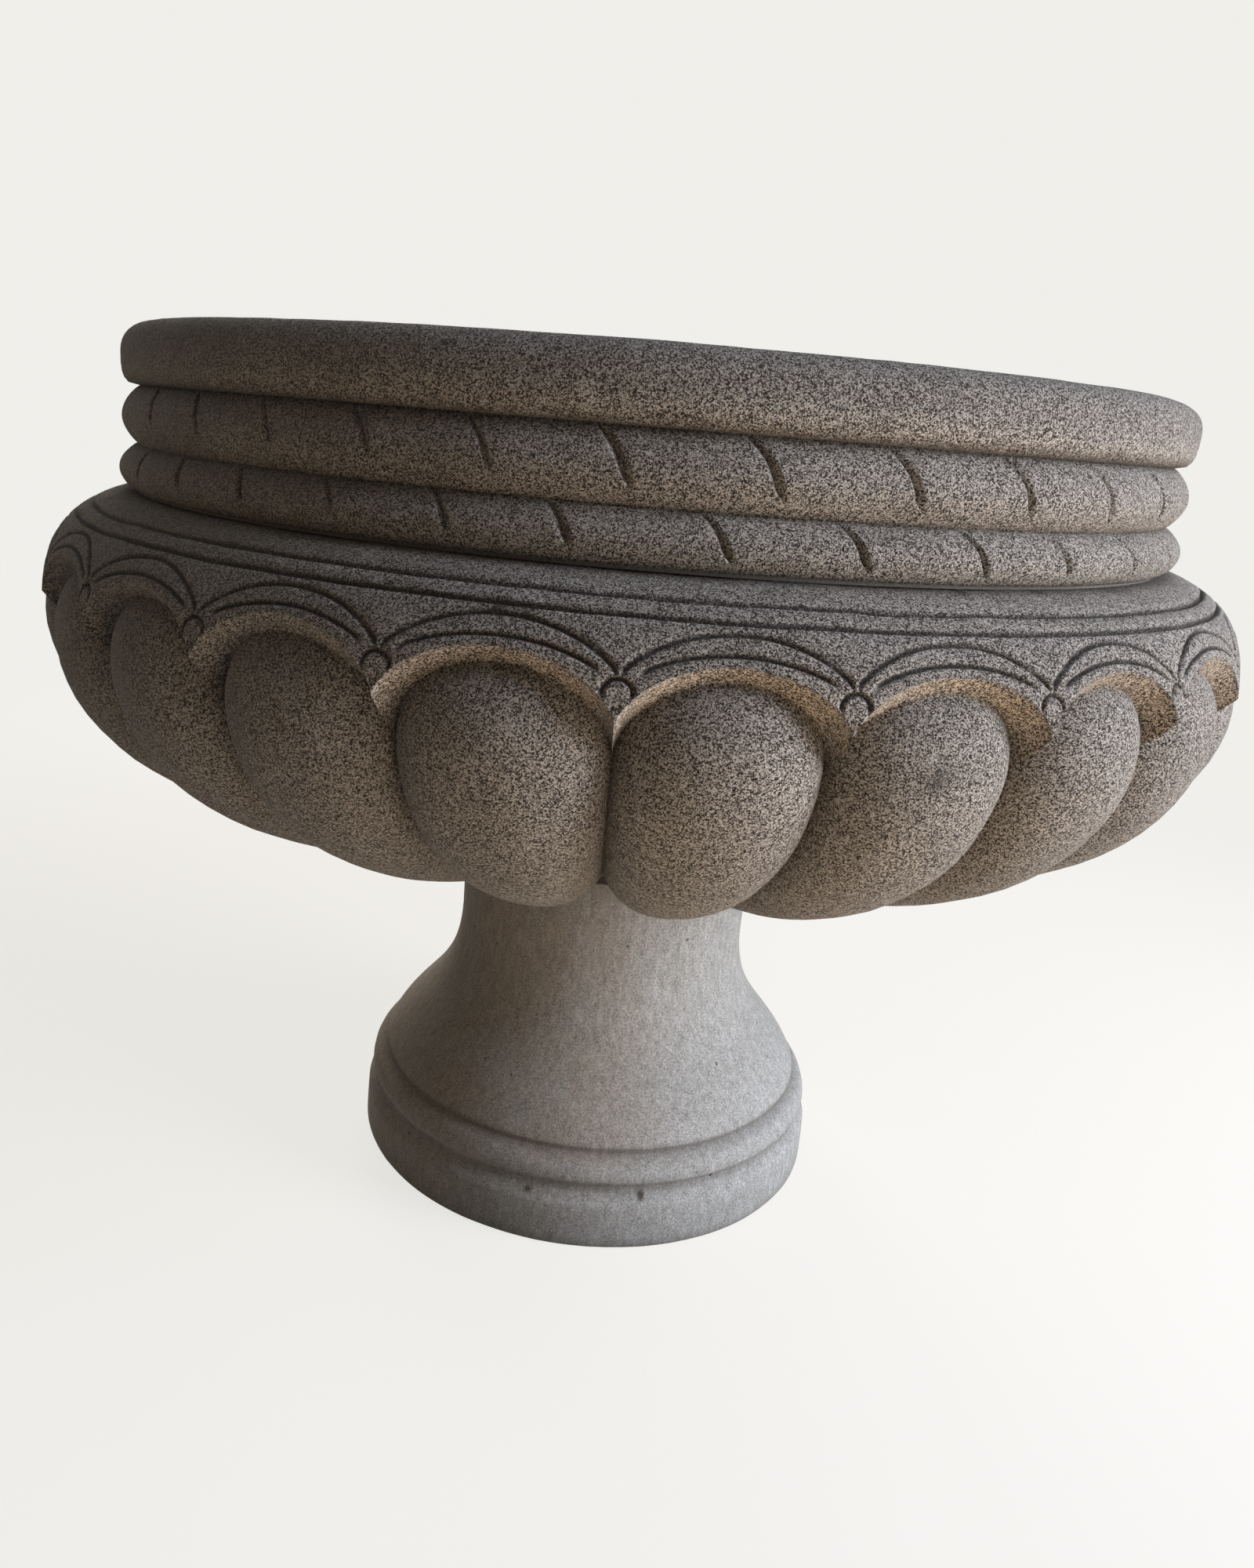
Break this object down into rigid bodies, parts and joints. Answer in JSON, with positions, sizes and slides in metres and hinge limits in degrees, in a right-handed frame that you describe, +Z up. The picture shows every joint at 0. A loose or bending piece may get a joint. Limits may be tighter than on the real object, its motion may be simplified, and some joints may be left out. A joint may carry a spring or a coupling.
{
  "type": "urn planter",
  "caption": "Wide gadrooned stone urn planter on a turned pedestal, with a separate ring course of roped mouldings and a rounded rim over a deep planting hollow.",
  "frame": {"origin": "centre of the pedestal's underside, on the ground", "axes": "+Z up along the urn's axis; -Y is the front seen in the picture and +X its right; a lobe's centre lies 6.7 degrees to the right of the front"},
  "size_m": [1.1438, 1.1438, 0.838],
  "materials": {
    "granite": "bush-hammered speckled grey-brown granite",
    "pale_stone": "fine rubbed pale grey stone with soft streaks",
    "mortar": "struck lime mortar",
    "stainless": "cut stainless bar",
    "drain_plastic": "moulded dark grey sleeve"
  },
  "bodies": {
    "root": {"pedestal": "pale_stone", "pedestal_bed": "mortar", "bowl": "granite", "collar_bed": "mortar", "collar": "granite", "drain_sleeve": "drain_plastic", "foot_dowel_1": "stainless", "foot_dowel_2": "stainless", "foot_dowel_3": "stainless", "collar_dowel_1": "stainless", "collar_dowel_2": "stainless", "collar_dowel_3": "stainless", "collar_dowel_4": "stainless"}
  },
  "joints": []
}
